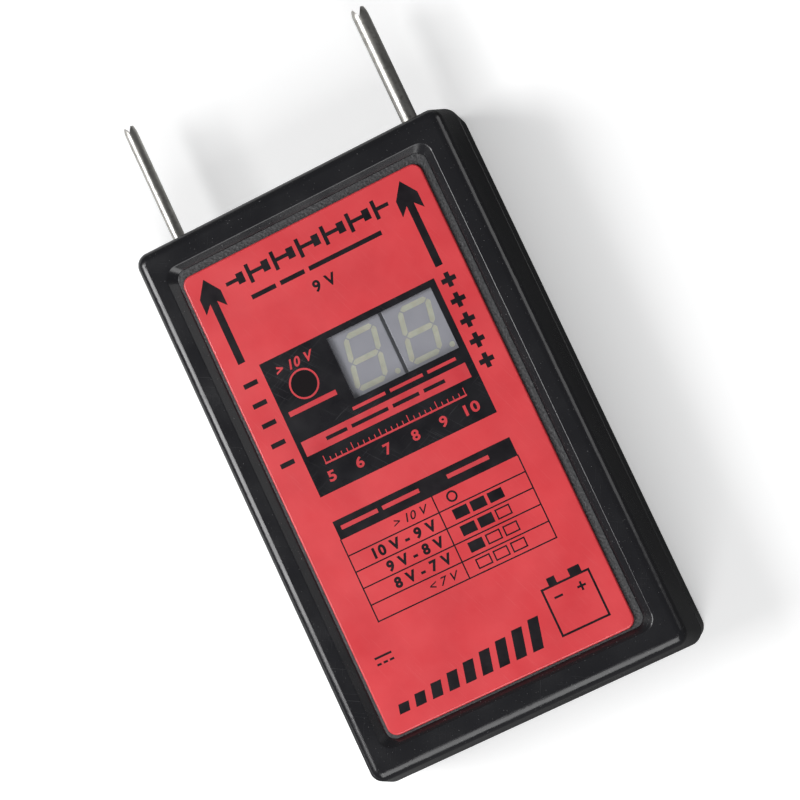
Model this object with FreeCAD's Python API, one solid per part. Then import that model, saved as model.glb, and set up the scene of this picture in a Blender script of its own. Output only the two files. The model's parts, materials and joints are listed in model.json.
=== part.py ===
import FreeCAD, Part
import math
import os

from FreeCAD import Vector

# Battery tester for 9 V dry batteries, lying on its back.
# Frame: +X to the right, +Y towards the probes, +Z out of the front face.
# The origin is the middle of the rear face. Lengths are in millimetres.

# ---------------------------------------------------------------- case
CASE_WIDTH = 75.2           # widest, at the parting line
CASE_LENGTH = 124.4
CASE_THICKNESS = 28.0
PARTING_Z = 13.5
FRONT_WIDTH = 71.8          # the front shell's walls lean in towards the front
FRONT_LENGTH = 121.2
REAR_WIDTH = 74.6
REAR_LENGTH = 123.4
CORNER_AT_PARTING = 3.2
CORNER_AT_FRONT = 2.7
CORNER_AT_REAR = 3.0
FRONT_EDGE_ROUND = 2.2
REAR_EDGE_ROUND = 1.6
PARTING_CHAMFER = 0.25
WALL = 2.0
LIP_HEIGHT = 1.2            # tongue of the rear shell inside the front shell
LIP_THICKNESS = 0.9
LIP_GAP = 0.1
PILOT_EXTRA_DEPTH = 0.5     # of a screw hole past the screw's point

# Recess for the label. Its floor is finely textured, its sides slope.
RECESS_WIDTH = 62.5
RECESS_LENGTH = 110.5
RECESS_CORNER = 3.4
FLOOR_WIDTH = 58.8
FLOOR_LENGTH = 107.7
FLOOR_CORNER = 2.2
RECESS_DEPTH = 1.3
RECESS_EDGE_ROUND = 0.35
FRONT_WALL = 1.8            # under the recess

# ---------------------------------------------------------------- label
LABEL_WIDTH = 56.3
LABEL_LENGTH = 105.4
LABEL_THICKNESS = 0.9
LABEL_CORNER = 2.2
LABEL_EDGE_ROUND = 0.4
LABEL_X = -0.5
LABEL_Y = -0.6

# ---------------------------------------------------------------- display
DISPLAY_X = 6.65            # middle of the pair of digits
DISPLAY_Y = 20.3
MODULE_PITCH = 12.7
MODULE_WIDTH = 12.1
MODULE_LENGTH = 19.0
MODULE_HEIGHT = 8.0
MODULE_ROUND = 0.25
MODULE_CORNER = 0.4
MODULE_BELOW_FLOOR = 0.4    # face of the modules below the recess floor
WINDOW_WIDTH = 24.4
WINDOW_LENGTH = 13.9
WINDOW_GAP = 0.03           # all round a pane in the label
DISPLAY_OPENING_GAP = 0.3   # between the modules and the shell
DIGIT_HEIGHT = 12.2
DIGIT_WIDTH = 7.6
SEGMENT_WIDTH = 1.2
SEGMENT_GAP = 0.16
SEGMENT_DEPTH = 0.4
SEGMENT_BELOW_FACE = 0.04
DIGIT_SLANT = math.tan(math.radians(10.5))
DIGIT_SHIFT_X = -0.2
POINT_RADIUS = 0.6
POINT_X = 4.7               # decimal point, from the digit's middle
PIN_ROW_SPACING = 15.24
PINS_PER_ROW = 5
PIN_PITCH = 2.29

LAMP_X = -13.8
LAMP_Y = 20.9
LAMP_WINDOW_RADIUS = 2.75
LED_RADIUS = 2.5
LED_FLANGE_RADIUS = 2.9
LED_FLANGE_HEIGHT = 1.0
LED_HEIGHT = 8.1
LED_HOLE_RADIUS = 2.7

# ---------------------------------------------------------------- probes
PROBE_SPACING = 56.2
PROBE_REACH = 27.4          # beyond the top wall
MINUS_RADIUS = 1.4
PLUS_RADIUS = 1.8
TIP_LENGTH = 2.2            # rounded part of the tip
NOTCH_DEPTH_SHARE = 1.1     # notch depth as a share of the probe's radius
NOTCH_SHARE = 0.52          # notch width as a share of the probe's diameter
TIP_SHARE = 0.8             # end radius as a share of the probe's radius
BULGE_HEIGHT = 0.6          # the tip has lost BULGE_LOSS of its narrowing at this share of its length
BULGE_LOSS = 0.3
SHANK_EXTRA_RADIUS = 0.2    # the part inside the case is a little thicker
SHANK_OUTSIDE = 0.1
PROBE_HOLE_GAP = 0.1
COLLAR_RADIUS = 3.0
COLLAR_LENGTH = 1.5
THREAD_RADIUS = 1.45
THREAD_HOLE_RADIUS = 1.55
THREAD_END_Y = 47.0
RIB_FRONT_Y = 54.5          # face of the holding rib that the collar rests on
RIB_THICKNESS = 2.5
RIB_WIDTH = 12.0
RIB_GAP = 0.1
WASHER_THICKNESS = 0.6
WASHER_RADIUS = 2.9
TAG_THICKNESS = 0.4
TAG_RADIUS = 3.0
TAG_TAIL_LENGTH = 8.0
TAG_TAIL_WIDTH = 2.4
NUT_THICKNESS = 2.4
NUT_ACROSS_FLATS = 5.5
WIRE_RADIUS = 0.75
WIRE_TO_AXIS = 6.4          # sideways from the probe's axis
WIRE_PAD_Y = 34.4
WIRE_BOW = 4.0              # height of the bow over the board's edge
WIRE_START = 4.5            # nearly straight stretch behind the solder tag
WIRE_START_RISE = 1.0

# ---------------------------------------------------------------- board
BOARD_WIDTH = 62.0
BOARD_TOP_Y = 38.0
BOARD_BOTTOM_Y = -48.0
BOARD_THICKNESS = 1.6
BOARD_CORNER = 1.0
BOARD_SCREW_X = 27.5
BOARD_SCREW_TOP_Y = 33.0
BOARD_SCREW_BOTTOM_Y = -43.5
BOARD_POST_RADIUS = 2.8
BOARD_SCREW_RADIUS = 1.2
BOARD_SCREW_LENGTH = 6.0
BOARD_SCREW_HEAD_RADIUS = 2.3
BOARD_SCREW_HEAD_HEIGHT = 1.6
BOARD_SCREW_HOLE_RADIUS = 1.4

CASE_SCREW_RADIUS = 1.4
CASE_SCREW_LENGTH = 14.0
CASE_SCREW_HEAD_RADIUS = 2.8
CASE_SCREW_HEAD_HEIGHT = 2.2
CASE_SCREW_SEAT_Z = 5.0     # underside of the head
CASE_POST_RADIUS = 3.3
CASE_COLUMN_RADIUS = 4.6
CASE_POST_END_Z = 12.6
COUNTERBORE_RADIUS = 3.1
SCREW_HOLE_GAP = 0.05
CLEAR_HOLE_GAP = 0.25
TOP_SCREW_X = 13.0
TOP_SCREW_Y = 53.5
BOTTOM_SCREW_X = 27.0
BOTTOM_SCREW_Y = -53.5
CROSS_WIDTH = 0.75
CROSS_DEPTH = 1.2

LEAD_RADIUS = 0.3
LEAD_HOLE_GAP = 0.12
LEAD_BELOW_BOARD = 1.2
INCH_PITCH = 2.54

SCREW_HEAD_ROUND = 0.45     # share of the head's height
SCREW_POINT_SHARE = 0.25    # radius of the flat point as a share of the screw's radius
CROSS_ARM = 1.15            # share of the head's radius

OVERCUT = 1.0               # cutting shapes reach this far past the surface
FLAT_TOLERANCE = 1e-4

# ---------------------------------------------------------------- worked out
FLOOR_Z = CASE_THICKNESS - RECESS_DEPTH
CEILING_Z = FLOOR_Z - FRONT_WALL
LABEL_TOP_Z = FLOOR_Z + LABEL_THICKNESS
MODULE_FACE_Z = FLOOR_Z - MODULE_BELOW_FLOOR
BOARD_Z = MODULE_FACE_Z - MODULE_HEIGHT
BOARD_UNDERSIDE_Z = BOARD_Z - BOARD_THICKNESS
LEAD_END_Z = BOARD_UNDERSIDE_Z - LEAD_BELOW_BOARD
PROBE_X = PROBE_SPACING / 2
PROBE_Z = PARTING_Z
WALL_END_Y = CASE_LENGTH / 2
PROBE_TIP_Y = WALL_END_Y + PROBE_REACH
RIB_BACK_Y = RIB_FRONT_Y - RIB_THICKNESS
SIDES = (-1, 1)
X_AXIS = Vector(1, 0, 0)
Y_AXIS = Vector(0, 1, 0)
Z_AXIS = Vector(0, 0, 1)
CASE_SCREWS = [(side * TOP_SCREW_X, TOP_SCREW_Y) for side in SIDES]
CASE_SCREWS += [(side * BOTTOM_SCREW_X, BOTTOM_SCREW_Y) for side in SIDES]
BOARD_SCREWS = [(side * BOARD_SCREW_X, y) for y in (BOARD_SCREW_TOP_Y, BOARD_SCREW_BOTTOM_Y)
                for side in SIDES]
MODULE_CENTRES = [DISPLAY_X + side * MODULE_PITCH / 2 for side in SIDES]


# ---------------------------------------------------------------- shapes
def rounded_outline(width, length, radius, z, x=0.0, y=0.0):
    """Closed wire of a rectangle with round corners."""
    a = width / 2
    b = length / 2
    k = radius * (1 - math.sqrt(0.5))
    arcs = []
    corners = [(1, 1), (-1, 1), (-1, -1), (1, -1)]
    for sx, sy in corners:
        along_x = Vector(x + sx * (a - radius), y + sy * b, z)
        along_y = Vector(x + sx * a, y + sy * (b - radius), z)
        middle = Vector(x + sx * (a - k), y + sy * (b - k), z)
        first, last = (along_y, along_x) if sx * sy > 0 else (along_x, along_y)
        arcs.append(Part.Arc(first, middle, last).toShape())
    edges = []
    for index, arc in enumerate(arcs):
        following = arcs[(index + 1) % len(arcs)]
        edges.append(arc)
        edges.append(Part.makeLine(arc.Vertexes[-1].Point, following.Vertexes[0].Point))
    return Part.Wire(edges)


def tapered_block(lower, upper):
    """Solid between two outlines, each (width, length, corner radius, z)."""
    return Part.makeLoft([rounded_outline(*lower), rounded_outline(*upper)], True, True)


def plate(width, length, radius, z_low, z_high, x=0.0, y=0.0):
    """Flat plate with round corners."""
    face = Part.Face(rounded_outline(width, length, radius, z_low, x, y))
    return face.extrude(Z_AXIS * (z_high - z_low))


def centred_box(width, length, z_low, z_high, x=0.0, y=0.0):
    corner = Vector(x - width / 2, y - length / 2, z_low)
    return Part.makeBox(width, length, z_high - z_low, corner)


def post(radius, z_low, z_high, x, y):
    return Part.makeCylinder(radius, z_high - z_low, Vector(x, y, z_low), Z_AXIS)


def rod_along_y(radius, y_low, y_high, x, z):
    return Part.makeCylinder(radius, y_high - y_low, Vector(x, y_low, z), Y_AXIS)


def flat_edges(shape, z, inside_width=None):
    """Edges that lie at height z; those outside inside_width are left out."""
    found = []
    for edge in shape.Edges:
        box = edge.BoundBox
        if abs(box.ZMin - z) > FLAT_TOLERANCE or abs(box.ZMax - z) > FLAT_TOLERANCE:
            continue
        if inside_width and max(abs(box.XMin), abs(box.XMax)) > inside_width / 2:
            continue
        found.append(edge)
    return found


def outer_size(z):
    """Width, length and corner radius of the case's outside at height z."""
    if z >= PARTING_Z:
        share = (z - PARTING_Z) / (CASE_THICKNESS - PARTING_Z)
        end = (FRONT_WIDTH, FRONT_LENGTH, CORNER_AT_FRONT)
    else:
        share = (PARTING_Z - z) / PARTING_Z
        end = (REAR_WIDTH, REAR_LENGTH, CORNER_AT_REAR)
    start = (CASE_WIDTH, CASE_LENGTH, CORNER_AT_PARTING)
    return [a + (b - a) * share for a, b in zip(start, end)]


def inset_outline(z, inset):
    """The case's outline at height z, moved inwards, for tapered_block."""
    width, length, corner = outer_size(z)
    return (width - 2 * inset, length - 2 * inset, corner - inset, z)


# ---------------------------------------------------------------- case
def probe_holes():
    holes = []
    for side, radius in ((-1, MINUS_RADIUS), (1, PLUS_RADIUS)):
        hole_radius = radius + SHANK_EXTRA_RADIUS + PROBE_HOLE_GAP
        holes.append(rod_along_y(hole_radius, RIB_FRONT_Y, WALL_END_Y + OVERCUT,
                                 side * PROBE_X, PROBE_Z))
        holes.append(rod_along_y(THREAD_HOLE_RADIUS, RIB_BACK_Y - OVERCUT, RIB_FRONT_Y + OVERCUT,
                                 side * PROBE_X, PROBE_Z))
    return Part.Compound(holes)


def holding_ribs(z_low, z_high):
    return [Part.makeBox(RIB_WIDTH, RIB_THICKNESS, z_high - z_low,
                         Vector(side * PROBE_X - RIB_WIDTH / 2, RIB_BACK_Y, z_low))
            for side in SIDES]


def label_recess():
    slope_x = (RECESS_WIDTH - FLOOR_WIDTH) / RECESS_DEPTH
    slope_y = (RECESS_LENGTH - FLOOR_LENGTH) / RECESS_DEPTH
    top = (RECESS_WIDTH + slope_x * OVERCUT, RECESS_LENGTH + slope_y * OVERCUT,
           RECESS_CORNER, CASE_THICKNESS + OVERCUT)
    return tapered_block((FLOOR_WIDTH, FLOOR_LENGTH, FLOOR_CORNER, FLOOR_Z), top)


def display_opening():
    width = MODULE_PITCH + MODULE_WIDTH + 2 * DISPLAY_OPENING_GAP
    length = MODULE_LENGTH + 2 * DISPLAY_OPENING_GAP
    return centred_box(width, length, CEILING_Z - OVERCUT, FLOOR_Z + OVERCUT, DISPLAY_X, DISPLAY_Y)


def front_shell():
    groove_z = PARTING_Z + PARTING_CHAMFER
    outside = tapered_block(inset_outline(groove_z, 0), inset_outline(CASE_THICKNESS, 0))
    outside = outside.makeFillet(FRONT_EDGE_ROUND, flat_edges(outside, CASE_THICKNESS))
    outside = outside.fuse(tapered_block(inset_outline(PARTING_Z, PARTING_CHAMFER),
                                         inset_outline(groove_z, 0)))
    shell = outside.cut(label_recess())
    shell = shell.makeFillet(RECESS_EDGE_ROUND,
                             flat_edges(shell, CASE_THICKNESS, (RECESS_WIDTH + FRONT_WIDTH) / 2))
    cavity = tapered_block(inset_outline(PARTING_Z, WALL), inset_outline(CEILING_Z, WALL))
    rebate = inset_outline(PARTING_Z, WALL - LIP_THICKNESS - LIP_GAP)
    cavity = cavity.fuse(plate(*rebate[:3], PARTING_Z - OVERCUT, PARTING_Z + LIP_HEIGHT + LIP_GAP))
    shell = shell.cut(cavity)
    into_wall = CEILING_Z + OVERCUT
    additions = holding_ribs(PARTING_Z + RIB_GAP, into_wall)
    for x, y in BOARD_SCREWS:
        additions.append(post(BOARD_POST_RADIUS, BOARD_Z, into_wall, x, y))
    for x, y in CASE_SCREWS:
        additions.append(post(CASE_POST_RADIUS, CASE_POST_END_Z, into_wall, x, y))
    shell = shell.fuse(additions)
    holes = [probe_holes(), display_opening()]
    holes.append(post(LED_HOLE_RADIUS, CEILING_Z - OVERCUT, FLOOR_Z + OVERCUT, LAMP_X, LAMP_Y))
    board_pilot_top = BOARD_UNDERSIDE_Z + BOARD_SCREW_LENGTH + PILOT_EXTRA_DEPTH
    for x, y in BOARD_SCREWS:
        holes.append(post(BOARD_SCREW_RADIUS + SCREW_HOLE_GAP, BOARD_Z - OVERCUT,
                          board_pilot_top, x, y))
    case_pilot_top = CASE_SCREW_SEAT_Z + CASE_SCREW_LENGTH + PILOT_EXTRA_DEPTH
    for x, y in CASE_SCREWS:
        holes.append(post(CASE_SCREW_RADIUS + SCREW_HOLE_GAP, CASE_POST_END_Z - OVERCUT,
                          case_pilot_top, x, y))
    return shell.cut(holes).removeSplitter()


def rear_shell():
    groove_z = PARTING_Z - PARTING_CHAMFER
    outside = tapered_block(inset_outline(0, 0), inset_outline(groove_z, 0))
    outside = outside.makeFillet(REAR_EDGE_ROUND, flat_edges(outside, 0))
    outside = outside.fuse(tapered_block(inset_outline(groove_z, 0),
                                         inset_outline(PARTING_Z, PARTING_CHAMFER)))
    lip = inset_outline(PARTING_Z, WALL - LIP_THICKNESS)
    outside = outside.fuse(plate(*lip[:3], PARTING_Z - OVERCUT, PARTING_Z + LIP_HEIGHT))
    cavity = tapered_block(inset_outline(WALL, WALL), inset_outline(PARTING_Z, WALL))
    opening = inset_outline(PARTING_Z, WALL)
    cavity = cavity.fuse(plate(*opening[:3], PARTING_Z, PARTING_Z + LIP_HEIGHT + OVERCUT))
    shell = outside.cut(cavity)
    additions = holding_ribs(WALL - OVERCUT, PARTING_Z)
    for x, y in CASE_SCREWS:
        additions.append(post(CASE_COLUMN_RADIUS, WALL - OVERCUT, CASE_POST_END_Z - RIB_GAP, x, y))
    shell = shell.fuse(additions)
    holes = [probe_holes()]
    for x, y in CASE_SCREWS:
        holes.append(post(COUNTERBORE_RADIUS, -OVERCUT, CASE_SCREW_SEAT_Z, x, y))
        holes.append(post(CASE_SCREW_RADIUS + CLEAR_HOLE_GAP, 0, CASE_POST_END_Z + OVERCUT, x, y))
    return shell.cut(holes).removeSplitter()


# ---------------------------------------------------------------- label and panes
def front_label():
    label = plate(LABEL_WIDTH, LABEL_LENGTH, LABEL_CORNER, FLOOR_Z, LABEL_TOP_Z, LABEL_X, LABEL_Y)
    label = label.makeFillet(LABEL_EDGE_ROUND, flat_edges(label, LABEL_TOP_Z))
    low = FLOOR_Z - OVERCUT
    high = LABEL_TOP_Z + OVERCUT
    window = centred_box(WINDOW_WIDTH, WINDOW_LENGTH, low, high, DISPLAY_X, DISPLAY_Y)
    lamp = post(LAMP_WINDOW_RADIUS, low, high, LAMP_X, LAMP_Y)
    return label.cut([window, lamp])


def display_window():
    return centred_box(WINDOW_WIDTH - 2 * WINDOW_GAP, WINDOW_LENGTH - 2 * WINDOW_GAP,
                       FLOOR_Z, LABEL_TOP_Z, DISPLAY_X, DISPLAY_Y)


def lamp_window():
    return post(LAMP_WINDOW_RADIUS - WINDOW_GAP, FLOOR_Z, LABEL_TOP_Z, LAMP_X, LAMP_Y)


# ---------------------------------------------------------------- display
def bar(x, y, length, upright):
    """Flat hexagon of one segment, its middle at (x, y)."""
    half = length / 2 - SEGMENT_GAP
    tip = SEGMENT_WIDTH / 2
    outline = [(-half, 0), (tip - half, tip), (half - tip, tip),
               (half, 0), (half - tip, -tip), (tip - half, -tip)]
    if upright:
        outline = [(-v, u) for u, v in outline]
    return [(x + u, y + v) for u, v in outline]


def segment_outlines():
    """The seven segments of a digit, around the digit's middle."""
    a = (DIGIT_WIDTH - SEGMENT_WIDTH) / 2
    b = (DIGIT_HEIGHT - SEGMENT_WIDTH) / 2
    bars = [bar(0, level * b, 2 * a, False) for level in (-1, 0, 1)]
    bars += [bar(side * a, level * b / 2, b, True) for side in SIDES for level in SIDES]
    return bars


def digit_segments(centre_x, z_low, z_high):
    solids = []
    for outline in segment_outlines():
        points = [Vector(centre_x + DIGIT_SHIFT_X + x + y * DIGIT_SLANT, DISPLAY_Y + y, z_low)
                  for x, y in outline]
        face = Part.Face(Part.makePolygon(points + points[:1]))
        solids.append(face.extrude(Z_AXIS * (z_high - z_low)))
    point_y = DISPLAY_Y - DIGIT_HEIGHT / 2 + POINT_RADIUS
    solids.append(post(POINT_RADIUS, z_low, z_high, centre_x + POINT_X, point_y))
    return solids


def display_module(centre_x):
    body = plate(MODULE_WIDTH, MODULE_LENGTH, MODULE_CORNER, BOARD_Z, MODULE_FACE_Z,
                 centre_x, DISPLAY_Y)
    body = body.makeFillet(MODULE_ROUND, flat_edges(body, MODULE_FACE_Z))
    cells = digit_segments(centre_x, MODULE_FACE_Z - SEGMENT_DEPTH, MODULE_FACE_Z + OVERCUT)
    return body.cut(cells)


def segment_fill(centre_x):
    return Part.Compound(digit_segments(centre_x, MODULE_FACE_Z - SEGMENT_DEPTH,
                                        MODULE_FACE_Z - SEGMENT_BELOW_FACE))


def display_pin_points():
    points = []
    for centre_x in MODULE_CENTRES:
        for side in SIDES:
            for index in range(PINS_PER_ROW):
                x = centre_x + (index - (PINS_PER_ROW - 1) / 2) * PIN_PITCH
                points.append((x, DISPLAY_Y + side * PIN_ROW_SPACING / 2))
    return points


def straight_leads(points, z_top=BOARD_Z):
    return Part.Compound([post(LEAD_RADIUS, LEAD_END_Z, z_top, x, y) for x, y in points])


# ---------------------------------------------------------------- lamp
def led_points():
    return [(LAMP_X + side * INCH_PITCH / 2, LAMP_Y) for side in SIDES]


def overvoltage_led():
    top = BOARD_Z + LED_HEIGHT - LED_RADIUS
    flange = post(LED_FLANGE_RADIUS, BOARD_Z, BOARD_Z + LED_FLANGE_HEIGHT, LAMP_X, LAMP_Y)
    body = post(LED_RADIUS, BOARD_Z, top, LAMP_X, LAMP_Y)
    dome = Part.makeSphere(LED_RADIUS, Vector(LAMP_X, LAMP_Y, top))
    return flange.fuse([body, dome]).removeSplitter()


# ---------------------------------------------------------------- probes
def notch_wedge(radius):
    """Wedge that cuts the notch; it reaches past the tip and through the whole pin."""
    depth = radius * NOTCH_DEPTH_SHARE
    bottom_y = PROBE_TIP_Y - depth
    top_y = PROBE_TIP_Y + OVERCUT
    half_top = radius * NOTCH_SHARE * (top_y - bottom_y) / depth
    corners = [Vector(0, bottom_y, -radius - OVERCUT), Vector(half_top, top_y, -radius - OVERCUT),
               Vector(-half_top, top_y, -radius - OVERCUT)]
    return Part.Face(Part.makePolygon(corners + corners[:1])).extrude(Z_AXIS * 2 * (radius + OVERCUT))


def probe(side, radius):
    """Turned pin: threaded tail, collar, shank and a notched, rounded tip."""
    shank_radius = radius + SHANK_EXTRA_RADIUS
    shank_end = WALL_END_Y + SHANK_OUTSIDE
    tip_start = PROBE_TIP_Y - TIP_LENGTH
    end_radius = radius * TIP_SHARE
    outline = [(0, THREAD_END_Y), (THREAD_RADIUS, THREAD_END_Y), (THREAD_RADIUS, RIB_FRONT_Y),
               (COLLAR_RADIUS, RIB_FRONT_Y), (COLLAR_RADIUS, RIB_FRONT_Y + COLLAR_LENGTH),
               (shank_radius, RIB_FRONT_Y + COLLAR_LENGTH), (shank_radius, shank_end),
               (radius, shank_end), (radius, tip_start)]
    points = [Vector(r, y, 0) for r, y in outline]
    bulge = Vector(radius - (radius - end_radius) * BULGE_LOSS,
                   tip_start + TIP_LENGTH * BULGE_HEIGHT, 0)
    end = Vector(end_radius, PROBE_TIP_Y, 0)
    axis_end = Vector(0, PROBE_TIP_Y, 0)
    edges = [Part.makeLine(a, b) for a, b in zip(points, points[1:])]
    edges.append(Part.Arc(points[-1], bulge, end).toShape())
    edges.append(Part.makeLine(end, axis_end))
    edges.append(Part.makeLine(axis_end, points[0]))
    pin = Part.Face(Part.Wire(edges)).revolve(Vector(0, 0, 0), Y_AXIS, 360)
    pin = pin.cut(notch_wedge(radius))
    pin.translate(Vector(side * PROBE_X, 0, PROBE_Z))
    return pin


def ring_along_y(outer, inner, y_low, y_high, x):
    ring = rod_along_y(outer, y_low, y_high, x, PROBE_Z)
    return ring.cut(rod_along_y(inner, y_low - OVERCUT, y_high + OVERCUT, x, PROBE_Z))


def probe_lock_washers():
    return Part.Compound([ring_along_y(WASHER_RADIUS, THREAD_HOLE_RADIUS,
                                       RIB_BACK_Y - WASHER_THICKNESS, RIB_BACK_Y, side * PROBE_X)
                          for side in SIDES])


def probe_solder_tags():
    y_high = RIB_BACK_Y - WASHER_THICKNESS
    tags = []
    for side in SIDES:
        x = side * PROBE_X
        ring = rod_along_y(TAG_RADIUS, y_high - TAG_THICKNESS, y_high, x, PROBE_Z)
        start = x - TAG_TAIL_LENGTH if side > 0 else x
        tail = Part.makeBox(TAG_TAIL_LENGTH, TAG_THICKNESS, TAG_TAIL_WIDTH,
                            Vector(start, y_high - TAG_THICKNESS, PROBE_Z - TAG_TAIL_WIDTH / 2))
        hole = rod_along_y(THREAD_HOLE_RADIUS, y_high - TAG_THICKNESS - OVERCUT, y_high + OVERCUT,
                           x, PROBE_Z)
        tags.append(ring.fuse(tail).cut(hole).removeSplitter())
    return Part.Compound(tags)


def probe_nuts():
    y_high = RIB_BACK_Y - WASHER_THICKNESS - TAG_THICKNESS
    corner_radius = NUT_ACROSS_FLATS / math.sqrt(3)
    nuts = []
    for side in SIDES:
        points = [Vector(side * PROBE_X + corner_radius * math.sin(math.radians(60 * k)), y_high,
                         PROBE_Z + corner_radius * math.cos(math.radians(60 * k)))
                  for k in range(7)]
        hexagon = Part.Face(Part.makePolygon(points)).extrude(Y_AXIS * -NUT_THICKNESS)
        hole = rod_along_y(THREAD_HOLE_RADIUS, y_high - NUT_THICKNESS - OVERCUT, y_high + OVERCUT,
                           side * PROBE_X, PROBE_Z)
        nuts.append(hexagon.cut(hole))
    return Part.Compound(nuts)


def probe_wire(side):
    """Insulated wire from the solder tag to the board, in one bow."""
    x = side * (PROBE_X - WIRE_TO_AXIS)
    start_y = RIB_BACK_Y - WASHER_THICKNESS - TAG_THICKNESS
    points = [(start_y, PROBE_Z), (start_y - WIRE_START, PROBE_Z + WIRE_START_RISE),
              (BOARD_TOP_Y, BOARD_Z + WIRE_BOW), (WIRE_PAD_Y, BOARD_Z)]
    curve = Part.BSplineCurve()
    curve.interpolate([Vector(x, y, z) for y, z in points],
                      InitialTangent=-Y_AXIS, FinalTangent=-Z_AXIS)
    path = Part.Wire(curve.toShape())
    circle = Part.Wire(Part.makeCircle(WIRE_RADIUS, Vector(x, start_y, PROBE_Z), Y_AXIS))
    return path.makePipeShell([circle], True, True)


# ---------------------------------------------------------------- board
CONVERTER_SPOT = (-12.0, -8.0)
DECODER_SPOT = (14.0, -8.0)
COMPARATOR_SPOT = (-20.0, 4.0)
DIP_ROW_SPACING = 7.62
DIP_BODY_WIDTH = 6.4
DIP_BODY_HEIGHT = 3.3
DIP_STANDOFF = 0.6
DIP_END_MARGIN = 0.8
DIP_LEG_WIDTH = 0.5
DIP_LEG_THICKNESS = 0.26
DIP_NOTCH_RADIUS = 0.8
DIP_NOTCH_DEPTH = 0.4


def dip_points(spot, legs):
    x, y = spot
    per_row = legs // 2
    return [(x + (index - (per_row - 1) / 2) * INCH_PITCH, y + side * DIP_ROW_SPACING / 2)
            for side in SIDES for index in range(per_row)]


def dip_body(spot, legs):
    x, y = spot
    length = legs / 2 * INCH_PITCH - INCH_PITCH + 2 * DIP_END_MARGIN
    z_low = BOARD_Z + DIP_STANDOFF
    z_high = z_low + DIP_BODY_HEIGHT
    body = centred_box(length, DIP_BODY_WIDTH, z_low, z_high, x, y)
    notch = post(DIP_NOTCH_RADIUS, z_high - DIP_NOTCH_DEPTH, z_high + OVERCUT, x - length / 2, y)
    return body.cut(notch)


def dip_legs(spot, legs):
    z_out = BOARD_Z + DIP_STANDOFF + DIP_BODY_HEIGHT / 2
    result = []
    for x, y in dip_points(spot, legs):
        side = 1 if y > spot[1] else -1
        down = centred_box(DIP_LEG_WIDTH, DIP_LEG_THICKNESS, LEAD_END_Z, z_out, x, y)
        reach = abs(y - spot[1]) + DIP_LEG_THICKNESS / 2 - DIP_BODY_WIDTH / 2
        middle = spot[1] + side * (DIP_BODY_WIDTH / 2 + reach / 2)
        out = centred_box(2 * DIP_LEG_WIDTH, reach, z_out - DIP_LEG_THICKNESS, z_out, x, middle)
        result.append(down.fuse(out).removeSplitter())
    return result


def ic_legs():
    return Part.Compound(dip_legs(CONVERTER_SPOT, 16) + dip_legs(DECODER_SPOT, 16)
                         + dip_legs(COMPARATOR_SPOT, 8))


# An axial part is (x, y, lies along x, lead spacing). Its body is in the middle.
SEGMENT_RESISTORS = [(-7.0 + 3.4 * index, -22.5, False, 10.16) for index in range(7)]
LOAD_RESISTORS = [(-14.5, y, True, 18.0) for y in (-33.5, -40.5)]
PROTECTION_DIODE = [(26.5, 16.0, False, 12.7)]
DIODE_RADIUS = 1.35
DIODE_LENGTH = 5.0
SMALL_RESISTOR_RADIUS = 1.15
SMALL_RESISTOR_LENGTH = 6.3
LOAD_RESISTOR_RADIUS = 2.2
LOAD_RESISTOR_LENGTH = 12.0
BODY_ABOVE_BOARD = 0.2
BODY_END_ROUND = 0.3        # share of the body's radius


def axial_points(parts):
    points = []
    for x, y, along_x, spacing in parts:
        for side in SIDES:
            reach = side * spacing / 2
            points.append((x + reach, y) if along_x else (x, y + reach))
    return points


def circular_edges(shape):
    return [edge for edge in shape.Edges if len(edge.Vertexes) == 1]


def axial_bodies(parts, radius, length):
    bodies = []
    for x, y, along_x, _ in parts:
        z = BOARD_Z + BODY_ABOVE_BOARD + radius
        direction = X_AXIS if along_x else Y_AXIS
        start = Vector(x, y, z) - direction * (length / 2)
        body = Part.makeCylinder(radius, length, start, direction)
        bodies.append(body.makeFillet(radius * BODY_END_ROUND, circular_edges(body)))
    return Part.Compound(bodies)


def axial_leads(parts, radius, length):
    """Each lead leaves the body's end, turns down and goes through the board."""
    leads = []
    for x, y, along_x, spacing in parts:
        z = BOARD_Z + BODY_ABOVE_BOARD + radius
        for side in SIDES:
            direction = (X_AXIS if along_x else Y_AXIS) * side
            start = Vector(x, y, z) + direction * (length / 2)
            elbow = Vector(x, y, z) + direction * (spacing / 2)
            out = Part.makeCylinder(LEAD_RADIUS, (elbow - start).Length, start, direction)
            down = post(LEAD_RADIUS, LEAD_END_Z, z, elbow.x, elbow.y)
            bend = Part.makeSphere(LEAD_RADIUS, elbow)
            leads.append(out.fuse([down, bend]).removeSplitter())
    return leads


def all_axial_leads():
    leads = axial_leads(SEGMENT_RESISTORS, SMALL_RESISTOR_RADIUS, SMALL_RESISTOR_LENGTH)
    leads += axial_leads(LOAD_RESISTORS, LOAD_RESISTOR_RADIUS, LOAD_RESISTOR_LENGTH)
    leads += axial_leads(PROTECTION_DIODE, DIODE_RADIUS, DIODE_LENGTH)
    return Part.Compound(leads)


TRANSISTOR_SPOTS = [(5.0, 4.5), (13.0, 4.5)]
REGULATOR_SPOTS = [(-25.0, -21.0)]
TRANSISTOR_RADIUS = 2.3
TRANSISTOR_FLAT = 1.1
TRANSISTOR_HEIGHT = 4.6
TRANSISTOR_STANDOFF = 1.5
TRANSISTOR_LEAD_PITCH = 1.27


def transistor_points(spots):
    return [(x + index * TRANSISTOR_LEAD_PITCH, y) for x, y in spots for index in (-1, 0, 1)]


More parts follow.
